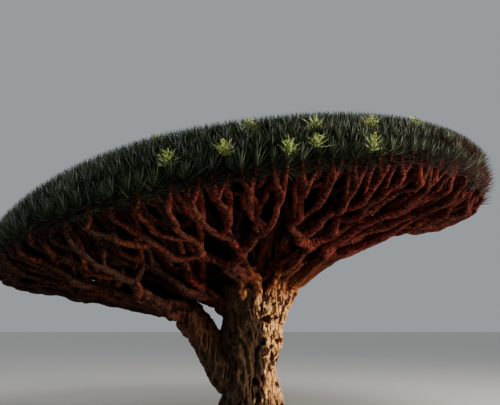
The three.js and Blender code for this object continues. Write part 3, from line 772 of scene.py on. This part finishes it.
def red_bark_material(name):
    """Crevices darkened with painted shade and red-brown crests on the boughs and limbs, with fibres along
    them, pale flecks and a thin dark line at each scar: browner and darker to the left, partly painted
    shade, darker at the far right rim by painted shade, and a painted sunlit orange next to the trunk on
    the right."""
    bark = plain_material(name, (0.2, 0.07, 0.03), 0.88, 0.1)
    coordinates, unrolled = object_coordinates(bark), attribute(bark, "unrolled", "Vector")
    x, _, z = apart(bark, coordinates)
    patches = noise_in(bark, coordinates, 7, 6)
    fibres = noise_in(bark, unrolled, 34, 5, 4)
    rough = weighed(bark, fibres, 0.5, attribute(bark, "relief"), 0.7)
    rise = weighed(bark, z, 1, patches, 1)
    mottled = between(bark, patches, 0.36, 0.64)
    right = blended(bark, *limb_tones["right"], mottled)
    left = blended(bark, *limb_tones["left"], mottled)
    # Browner and darker towards the left, partly as painted shade.
    crest = blended(bark, left, right, between(bark, x, -2.4, 0.8))
    crest = blended(bark, crest, rim_shade_colour, rim_shade(bark, x))
    brown = product(bark, between(bark, x, -0.8, -0.3), between(bark, rise, 2.8, 2.35))
    crest = blended(bark, crest, low_brown, brown)
    # Painted sunlit orange on the boughs next to the trunk on the right.
    streaks = between(bark, noise_in(bark, unrolled, 60, 4, 9), 0.42, 0.6)
    low_sunlit_orange = blended(bark, *limb_tones["low_sunlit_orange"], streaks)
    high_sunlit_orange = blended(bark, *limb_tones["high_sunlit_orange"], streaks)
    orange = blended(bark, low_sunlit_orange, high_sunlit_orange, between(bark, rise, 2.5, 2.9))
    near = product(bark, between(bark, x, -0.25, 0.1), between(bark, rise, 3.4, 2.7))
    crest = blended(bark, crest, orange, near)
    crest = blended(bark, crest, pale_fleck, flecks_in(bark, coordinates))
    # The crevices, where the relief is low, are darkened with painted shade.
    shade = blended(bark, crevice_shade_colour, crest, between(bark, rough, 0.52, 0.76))
    bands = between(bark, scar_bands(bark, unrolled, patches), 0.02, 0.4)
    colour = blended(bark, scar_colour, shade, worked(bark, "ADD", bands, fibres, clamp=True))
    return finished(bark, colour, rough, 0.04)


def add_limbs(name, parts, materials, nodes):
    """One piece of tubes from several levels: each part is its grid, unrolled places, relief, and the
    number of the material that each of its tubes has."""
    faces, kinds, count = [], [], 0
    for grid, _, _, kind in parts:
        triangles = tube_faces(grid.shape[1], grid.shape[2], len(grid))
        faces.append(triangles + count)
        kinds.append(np.repeat(kind, len(triangles) // len(kind)))
        count += len(grid) * (grid.shape[1] * grid.shape[2] + 2)
    points, unrolled, relief = (np.concatenate([tube_corners(part[k]) for part in parts]) for k in range(3))
    faces, kinds = np.concatenate(faces), np.concatenate(kinds)
    values = {"unrolled": unrolled, "relief": relief}
    add_piece(name, points, faces, materials, nodes, values, kinds)


def grown(cells, starts, directions, level, share, rings, sides, relief_depth=1):
    """One level of limbs, up to a share of their way: their surfaces, ends and end directions."""
    routes = limb_routes(starts, directions, cells, share, rings)
    surfaces = limb_surfaces(routes, cells, level, sides, relief_depth)
    return surfaces, routes[:, -1], way_direction(cells, share)


def forked(cells, ends, directions):
    """The halved cells, with the start and the parent's direction of the limb that grows to each."""
    return halve(cells), np.repeat(ends, 2, axis=0), np.repeat(directions, 2, axis=0)


bough_names = [f"{i + 1:02d}" for i in range(ring_count + 2 * left_count + 1)]
limb_names = [f"{name}{side}" for name in bough_names for side in "ab"]
red_bark = red_bark_material("red_bark")
bough_levels = [
    {"piece": "boughs", "rings": 40, "sides": 72, "nodes": [f"bough_{name}" for name in bough_names]},
    {"piece": "limbs", "rings": 70, "sides": 40, "nodes": [f"limb_{name}" for name in limb_names]},
]


def make_boughs():
    """The boughs and the limbs, which start sunk into the boughs' ends. Gives what the twigs grow on
    from: the limbs' cells, ends and directions."""
    cells = bough_cells()
    starts, directions = cells["seat"], way_direction(cells, 0.1)
    for level, made in enumerate(bough_levels, 1):
        if level > 1:
            sunk_ends = ends - directions * sunk * girth_of(level)
            cells, starts, directions = forked(cells, sunk_ends, directions)
        shape = (level, fork_shares[level], made["rings"], made["sides"], bough_relief)
        surfaces, ends, directions = grown(cells, starts, directions, *shape)
        add_limbs(made["piece"], [(*surfaces, np.zeros(len(ends)))], [red_bark], made["nodes"])
    return cells, ends, directions


limb_cells, limb_ends, limb_directions = make_boughs()


# Twigs. Each limb goes on forking in two under the leaves, in lyre-shaped pairs, and the last twigs
# turn up into them. They are a finger's length to an arm's length long, and as red as the limbs.
last_level = 8
twig_groups = {
    "right_near": [1, 2], "right": [3, 4], "right_far": [5, 6],
    "left_far": [7, 8], "left_near": [9, 10], "middle": [11],
}
twig_rings = {3: 26, 4: 18, 5: 14, 6: 12, 7: 9, 8: 9}
twig_sides = {3: 14, 4: 12, 5: 10, 6: 8, 7: 7, 8: 6}
twig_tones = {
    "twig_red": (0.108, 0.017, 0.011),
    "twig_rust": (0.08, 0.018, 0.009),
    "twig_brown": (0.034, 0.013, 0.008),
    "twig_shade": (0.013, 0.005, 0.004),
}
# The dark tone is painted shade for the twigs inside the crown.
shade_tone = 3


def twig_material(name, colour):
    """Red-brown bark of one tone, with bands between dark scar lines, pale flecks, crevices darkened with
    painted shade, and painted shade at the far right rim.
    """
    bark = plain_material(name, colour, 0.88, 0.1)
    coordinates, unrolled = object_coordinates(bark), attribute(bark, "unrolled", "Vector")
    bands = scar_bands(bark, unrolled, noise_in(bark, coordinates, 5, 4))
    rough = weighed(bark, bands, 0.25, noise_in(bark, unrolled, 45, 4, 2), 0.75)
    crevice_shade, low, high = (tuple(share * value for value in colour) for share in (0.12, 0.2, 1.5))
    pale = tuple(1.5 * value + 0.25 * colour[0] for value in colour)
    mottled = blended(bark, low, high, between(bark, rough, 0.38, 0.68))
    mottled = blended(bark, low, mottled, between(bark, noise_in(bark, coordinates, 15, 3), 0.36, 0.56))
    mottled = blended(bark, mottled, pale, flecks_in(bark, coordinates))
    # Painted shade at the far right rim.
    mottled = blended(bark, mottled, crevice_shade, rim_shade(bark, apart(bark, coordinates)["X"]))
    # The crevices, where the relief is low, are darkened with painted shade.
    relief = between(bark, attribute(bark, "relief"), 0.3, 0.6)
    return finished(bark, blended(bark, crevice_shade, mottled, relief), rough, 0.03)


def tone_of(cells, ends):
    """Which tone each twig has, by its place and by chance: the dark tone inside the crown as painted
    shade, red on the right, and brown on the left, which is darker there and partly painted shade."""
    x, y, z = ends.T
    far = np.hypot(x, y)
    # Twigs deep inside the crown, where shade falls, take the dark tone as painted shade.
    inner = smooth_step(z - 0.38 * far, 2.3, 2.7) * (1 - smooth_step(far, 2.9, 3.7))
    # Twigs on the left are browner and darker, partly as painted shade.
    left = smooth_step(-x, -0.4, 2.6)
    level = left + 0.8 * (chance(cells["number"], 17) - 0.5)
    tone = np.searchsorted([0.25, 0.7], level)
    return np.where(inner > chance(cells["number"], 18), shade_tone, tone)


def bough_of(cells):
    """The number of the bough, from 1, that each cell hangs on: its number halved back to level 1."""
    level = np.floor(np.log2(cells["number"] / first_bough_number))
    return (cells["number"] // 2**level - first_bough_number + 1).astype(int)


def foliage_nodes(boughs):
    """The names of the leaf masses on these boughs."""
    return [f"foliage_{bough:02d}{side}" for bough in boughs for side in "ab"]


def chosen(cells, mask):
    """Only those cells that the mask picks."""
    return {name: value[mask] for name, value in cells.items()}


twig_materials = [twig_material(name, colour) for name, colour in twig_tones.items()]
every_mass = [f"foliage_{name}" for name in limb_names]


def make_twigs():
    """All twigs level by level, joined into one piece for each side of the crown. Gives the cells of
    the last ones, and their tips."""
    cells, ends, directions = limb_cells, limb_ends, limb_directions
    parts = {name: [] for name in twig_groups}
    for level in range(3, last_level + 1):
        shape = (level, fork_shares[level], twig_rings[level], twig_sides[level])
        cells, starts, directions = forked(cells, ends, directions)
        surfaces, ends, directions = grown(cells, starts, directions, *shape)
        for name, boughs in twig_groups.items():
            mask = np.isin(bough_of(cells), boughs)
            parts[name].append([part[mask] for part in (*surfaces, tone_of(cells, ends))])
    for name, boughs in twig_groups.items():
        add_limbs(f"twigs_{name}", parts[name], twig_materials, foliage_nodes(boughs))
    return cells, ends


twig_cells, twig_tips = make_twigs()


# Young limbs. Between the boughs grow thinner limbs, which fill the fan under the leaves: rows of them
# round the trunk's head, and single ones at the left stem, at the trunk's side and at the far right.
young_levels = [2.4, 3.7, 5, 6, 7]
young_shares = [0.28, 0.46, 0.62, 0.8, 1]
young_rings, young_sides, young_fewest_sides = 14, 14, 7
first_young_number = 64
young_rows = [
    (0.3, 0.75, 7, -140, 40, 0.33, 2.2, 0.5),
    (0.1, 0.5, 6, -120, 40, 0.2, 2.42, 0.8),
    (0.8, 1, 3, -52, 24, 0.38, 2.14, 0.78),
    (0.02, 0.35, 4, -180, 90, 0.12, 2.5, 1.0),
    (0.55, 0.9, 4, -100, 40, 0.3, 2.3, 0.42),
    (0.6, 0.9, 3, -60, 40, 0.36, 2.2, 0.6),
    (0.5, 0.9, 3, 84, 18, 0.3, 2.25, 0.62),
    (0.6, 0.95, 1, 105, 20, 0.35, 2.2, 0.6),
    (0.75, 1, 2, -16, 16, 0.34, 2.22, 0.78),
]
young_singles = [
    (0.45, 0.82, 150, 182, (-1.02, 0.09, 1.86), 0.62),
    (0.45, 0.82, 178, 210, (-1.02, -0.17, 1.86), 0.62),
    (0.6, 0.88, 165, 195, (-0.93, -0.04, 1.93), 1.1),
    (0.78, 1, 136, 162, (-1.02, 0.1, 1.84), 1.1),
    (0.82, 1, 168, 192, (-1.06, -0.04, 1.84), 1.2),
    (0.78, 1, 198, 224, (-1.02, -0.16, 1.84), 1.1),
    (0.3, 0.62, 160, 200, (-0.2, 0.02, 2.12), 1.2),
    (0.3, 0.7, 165, 195, (-0.3, 0, 2.25), 1.05),
    (0.3, 0.6, 148, 180, (-0.1, 0.1, 2.32), 0.95),
    (0.3, 0.6, 180, 212, (-0.1, -0.1, 2.32), 0.95),
    (0.5, 0.9, 186, 234, (-0.24, -0.16, 2.0), 1.5),
    (0.5, 0.9, 126, 174, (-0.24, 0.16, 2.0), 1.5),
    (0.65, 0.95, 140, 160, (-0.35, 0.3, 2.02), 1.2),
    (0.62, 0.9, 140, 168, (-1.0, 0.12, 1.9), 0.9),
    (0.7, 0.98, 146, 166, (-1.04, 0.06, 1.86), 1.0),
    (0.6, 0.95, 22, 42, (0.39, 0.19, 2.2), 0.6),
]


def young_cells():
    """The young limbs' cells, seats and arches. A row is given by its inner and outer share, count,
    first azimuth, step, and its seats' radius, height and arch, and a single one by its shares, start
    and end azimuth, seat and arch."""
    rows = []
    for inner, outer, count, first, step, radius, height, arch in young_rows:
        for k in range(count):
            start = math.radians(first + k * step)
            seat = seat_round(radius, start + math.radians(step) / 2, height)
            rows.append((inner, outer, start, start + math.radians(step), *seat, arch))
    for inner, outer, start, end, seat, arch in young_singles:
        rows.append((inner, outer, math.radians(start), math.radians(end), *seat, arch))
    return numbered_cells(rows, first_young_number)


def make_young_limbs(name, cells):
    """Some young limbs in the limbs' bark and their twigs in the twigs' tones, as one piece."""
    starts, directions, parts = cells["seat"], way_direction(cells, 0.1), []
    for step, (level, share) in enumerate(zip(young_levels, young_shares)):
        if step > 0:
            cells, starts, directions = forked(cells, ends, directions)
        sides = max(young_sides - 2 * step, young_fewest_sides)
        surfaces, ends, directions = grown(cells, starts, directions, level, share, young_rings, sides)
        tones = tone_of(cells, ends) if step > 0 else np.full(len(ends), len(twig_materials))
        parts.append((*surfaces, tones))
    add_limbs(name, parts, [*twig_materials, red_bark], every_mass)


young = young_cells()
is_near, is_left = np.sin(middle_of(young)[1]) < 0, np.cos(middle_of(young)[1]) < 0
for side, on_side in (("right", ~is_left), ("left", is_left)):
    make_young_limbs(f"young_limbs_{side}_near", chosen(young, on_side & is_near))
    make_young_limbs(f"young_limbs_{side}_far", chosen(young, on_side & ~is_near))


# Leaves. Every last twig ends in a rosette of stiff sword-shaped leaves, upright in its heart and
# spread flat lower down. Together they make one dense carpet. Each is folded a little at its midrib.
leaves_per_rosette = 62
leaf_length, leaf_shortest, heart_length, heart_end = 0.48, 0.75, 0.68, 0.35
leaf_width, leaf_fold, widest_at = 0.027, 0.25, 0.2
leaf_twist, leaf_droop, leaf_margin = 0.7, 0.16, 0.01
leaf_collar, leaf_drop = 0.1, 0.04
leaf_tilt_low, leaf_tilt_high, leaf_tilt_right = math.radians(3), math.radians(102), math.radians(60)
rim_lean = 0.4
rim_right_length, rim_right_width = 0.74, 1.5
# The grey leaves are painted highlights, and the dark ones are partly painted shade.
leaf_colours = {
    "leaf_old_and_shaded": (0.007, 0.012, 0.005),
    "leaf_green": (0.019, 0.032, 0.013),
    "leaf_grey_highlight": (0.12, 0.145, 0.1),
    "leaf_olive": (0.045, 0.06, 0.025),
    "leaf_red": (0.045, 0.012, 0.007),
}
olive_kind, withered_kind = 3, 4
# The last of these darkens the leaves towards the right as painted shade.
age_steps, rosette_age, leaf_age, right_shade = [-0.02, 0.12, 0.5], 0.9, 0.7, 0.25
low_withered, rim_withered = 0.8, 0.85


def spray_axes(share, azimuth):
    """The directions that sprays face: upright over most of the crown, leaning outwards at the rim."""
    return unit(row_times(outward(azimuth), rim_lean * share**4) + np.array([0.0, 0.0, 1.0]))


def golden_turns(count):
    """The turns of a spiral whose steps are the golden angle."""
    return (np.arange(count) * np.pi * (3 - 5**0.5))[None]


def inside_crown(points, margin):
    """Whether points lie that far within the crown's outer surface."""
    x, y = points[..., 0] - crown_centre, points[..., 1]
    spread = np.hypot(x / crown_reach_x, y / crown_reach_y)
    return (points[..., 2] < rim_surface(x, y) + dome_height(spread, 0, x) - margin) & (spread < 1)


def blades(roots, directions, turns, length, width, margin, droop):
    """Folded sword-shaped blades of five corners: the root, three across the widest place near it, and
    the tip, which hangs by the droop times its level reach. One that would leave the crown is shortened.
    Gives their corners, and which of them have any length left."""
    level = np.stack([directions[..., 1], -directions[..., 0], np.zeros_like(directions[..., 0])], -1)
    level_side = unit(level + np.array([1e-4, 0, 0]))
    level_face = np.cross(level_side, directions)
    side = row_times(level_side, np.cos(turns)) + row_times(level_face, np.sin(turns))
    face = row_times(level_face, np.cos(turns)) - row_times(level_side, np.sin(turns))
    reach = np.hypot(directions[..., 0], directions[..., 1]) * length
    hang = np.stack([np.zeros_like(reach), np.zeros_like(reach), -droop * reach], -1)
    fits = np.zeros_like(length)
    for part in np.arange(0.25, 1.01, 0.05):
        tips = roots + row_times(directions, length * part) + hang * part**2
        fits = np.where(inside_crown(tips, margin), part, fits)
    length, width = length * fits, np.broadcast_to(width, length.shape)
    middle = roots + row_times(directions, widest_at * length)
    tips = roots + row_times(directions, length) + row_times(hang, fits**2)
    edge, crease = row_times(side, width / 2), row_times(face, leaf_fold * width)
    kept = fits > 0
    return np.stack([roots, middle - edge, middle - crease, middle + edge, tips], axis=-2)[kept], kept


blade_faces = np.array([(0, 2, 1), (0, 3, 2), (1, 2, 4), (2, 3, 4)])


def add_blades(name, corners, kinds, materials, nodes):
    """One piece of blades, each with the number of its material."""
    faces = (blade_faces[None] + 5 * np.arange(len(corners))[:, None, None]).reshape(-1, 3)
    kinds = np.repeat(kinds, len(blade_faces))
    add_piece(name, corners.reshape(-1, 3), faces, materials, nodes, kinds=kinds, smooth=False)


def rosette_directions(axis, tilt, turn):
    """Directions at a tilt from each rosette's axis, turned round it."""
    first = unit(np.cross(axis, np.array([0.0, 1.0, 0.0])))
    second = np.cross(axis, first)
    aside = row_times(first[:, None], np.cos(turn)) + row_times(second[:, None], np.sin(turn))
    return row_times(axis[:, None], np.cos(tilt)) + row_times(aside, np.sin(tilt))


def leaf_kinds(number, k, order, tips):
    """The number of each leaf's colour: by its age, which grows from the heart outwards, with painted
    shade added towards the right, or the withered one, by chance, at the low right rim. The grey kind
    is a painted highlight, and the dark kind is partly painted shade."""
    age = order + rosette_age * (chance(number, 11) - 0.5) + leaf_age * (chance(number + 0.13 * k, 9) - 0.5)
    # Painted shade: the leaves grow darker towards the right.
    age = age + right_shade * smooth_step(tips[:, :1], 1, 3)
    low = low_withered * smooth_step(tips[:, :1], 0.8, 2.6) * smooth_step(order, 0.4, 0.6)
    rim = rim_withered * smooth_step(tips[:, :1] - tips[:, 2:], -1.1, -0.1)
    withered = chance(number + 0.91 * k, 10) < np.maximum(low, rim)
    return np.where(withered, withered_kind, olive_kind - np.searchsorted(age_steps, age))


def rosette_leaves(cells, tips):
    """The leaves of each rosette: a spiral from the heart to the lowest leaves. At the right rim they
    are steeper, shorter and wider. Gives their corners and the number of each one's colour."""
    axis = spray_axes(*aim_of(cells))
    number = cells["number"][:, None].astype(float)
    k = np.arange(leaves_per_rosette)[None]
    order = (k + chance(number + 0.31 * k, 5)) / leaves_per_rosette
    low_end = mixed(leaf_tilt_high, leaf_tilt_right, smooth_step(tips[:, :1], 1.5, 3.5))
    tilt = mixed(leaf_tilt_low, low_end, order)
    turn = golden_turns(leaves_per_rosette) + 2 * np.pi * chance(number, 6)
    directions = rosette_directions(axis, tilt, turn)
    roots = tips[:, None] + row_times(axis[:, None], leaf_collar * (0.3 - order) - leaf_drop)
    far_right = smooth_step(tips[:, :1] - tips[:, 2:], -0.7, 0)
    length = leaf_length * mixed(leaf_shortest, 1, chance(number + 0.53 * k, 7))
    length = length * mixed(heart_length, 1, smooth_step(order, 0, heart_end))
    length = length * mixed(1, rim_right_length, far_right)
    width = leaf_width * mixed(1, rim_right_width, far_right)
    twist = leaf_twist * (chance(number + 0.71 * k, 8) - 0.5)
    corners, kept = blades(roots, directions, twist, length, width, leaf_margin, leaf_droop)
    return corners, leaf_kinds(number, k, order, tips)[kept]


def make_leaves():
    """The leaves of each side of the crown as one piece, in plain colours dealt out by rosette and by age,
    with painted highlights on the grey leaves, painted shade towards the right and partly on the dark
    ones, and withered red ones at the low right rim."""
    materials = [plain_material(name, colour, 0.46, 0.3) for name, colour in leaf_colours.items()]
    for name, boughs in twig_groups.items():
        mask = np.isin(bough_of(twig_cells), boughs)
        corners, kinds = rosette_leaves(chosen(twig_cells, mask), twig_tips[mask])
        add_blades(f"leaves_{name}", corners, kinds, materials, foliage_nodes(boughs))


make_leaves()


# Blossom. Among the leaves stand loose yellow-green heads of many thin stalks, about half as wide as
# a rosette: those on the near side where they show, and others on the right and at the back.
near_heads = [
    (0.62, -114), (0.91, -102), (0.91, -92), (0.73, -87), (0.95, -81),
    (0.81, -74), (0.94, -76), (0.83, -62), (0.97, -66), (0.8, -46),
]
far_head_count, far_head_from, far_head_step = 12, -20, 13
far_head_low, far_head_high = 0.5, 0.95
head_inset, head_foot, head_tilt, head_tilt_power = 0.27, 0.1, math.radians(80), 0.6
head_stalks, stalk_length, stalk_width = 22, 0.25, 0.017
stalk_flowers, flower_length, flower_width = 6, 0.06, 0.014
stalk_margin, flower_margin = -0.03, -0.05
flower_aside, green_share = 0.7, 0.3
blossom_colours = {
    "blossom_yellow": (0.38, 0.46, 0.07),
    "blossom_green": (0.17, 0.27, 0.04),
    "blossom_pale": (0.4, 0.46, 0.22),
}
pale_kind = 2


def head_places():
    """The share and azimuth of each head: the near ones as given, and the far ones at even azimuths,
    each with its share by chance."""
    far = np.arange(far_head_count)
    near_share, near_degrees = np.array(near_heads).T
    share = np.concatenate([near_share, mixed(far_head_low, far_head_high, chance(far, 40))])
    return share, np.radians(np.concatenate([near_degrees, far_head_from + far_head_step * far]))


def stalk_blossom(roots, directions, length, number, k):
    """The small pointed flowers that stand off each stalk on all sides."""
    j = np.arange(stalk_flowers)
    reach = length[..., None] * mixed(0.05, 0.6, (j + 1) / stalk_flowers)
    place = row_times(directions[..., None, :], reach)
    seeds = number[..., None] + 0.37 * k[..., None] + 0.011 * j
    aside = np.stack([chance(seeds, salt) - 0.5 for salt in (45, 46, 47)], -1)
    aims = unit(unit(aside) + flower_aside * directions[..., None, :])
    size = flower_length * mixed(0.6, 1, chance(seeds, 48))
    twist = 3 * chance(seeds, 49)
    return blades(roots[..., None, :] + place, aims, twist, size, flower_width, flower_margin, 0)[0]


def make_blossom():
    """All heads as one piece: pale stalks by the golden angle, from upright to spread wide, with yellow
    and green flowers."""
    share, azimuth = head_places()
    axis = spray_axes(share, azimuth)
    number = np.arange(len(share), dtype=float)[:, None]
    k = np.arange(head_stalks)[None]
    tilt = head_tilt * ((k + 0.5) / head_stalks) ** head_tilt_power
    tilt = tilt * mixed(0.8, 1.1, chance(number + 0.2 * k, 44))
    directions = rosette_directions(axis, tilt, golden_turns(head_stalks) + number)
    foot = head_foot * row_times(axis[:, None], 1 - k / head_stalks + 0 * number)
    roots = canopy(share, azimuth, head_inset)[:, None] + foot
    length = stalk_length * mixed(0.55, 1, chance(number + 0.37 * k, 41))
    stalks, _ = blades(roots, directions, 3 * chance(number + k, 42), length, stalk_width, stalk_margin, 0)
    flowers = stalk_blossom(roots, directions, length, number, k)
    blade = np.arange(len(stalks) + len(flowers))
    green = (chance(blade, 43) > 1 - green_share).astype(int)
    kinds = np.where(blade < len(stalks), pale_kind, green)
    materials = [plain_material(name, colour, 0.5) for name, colour in blossom_colours.items()]
    add_blades("blossom", np.concatenate([stalks, flowers]), kinds, materials, every_mass)


make_blossom()
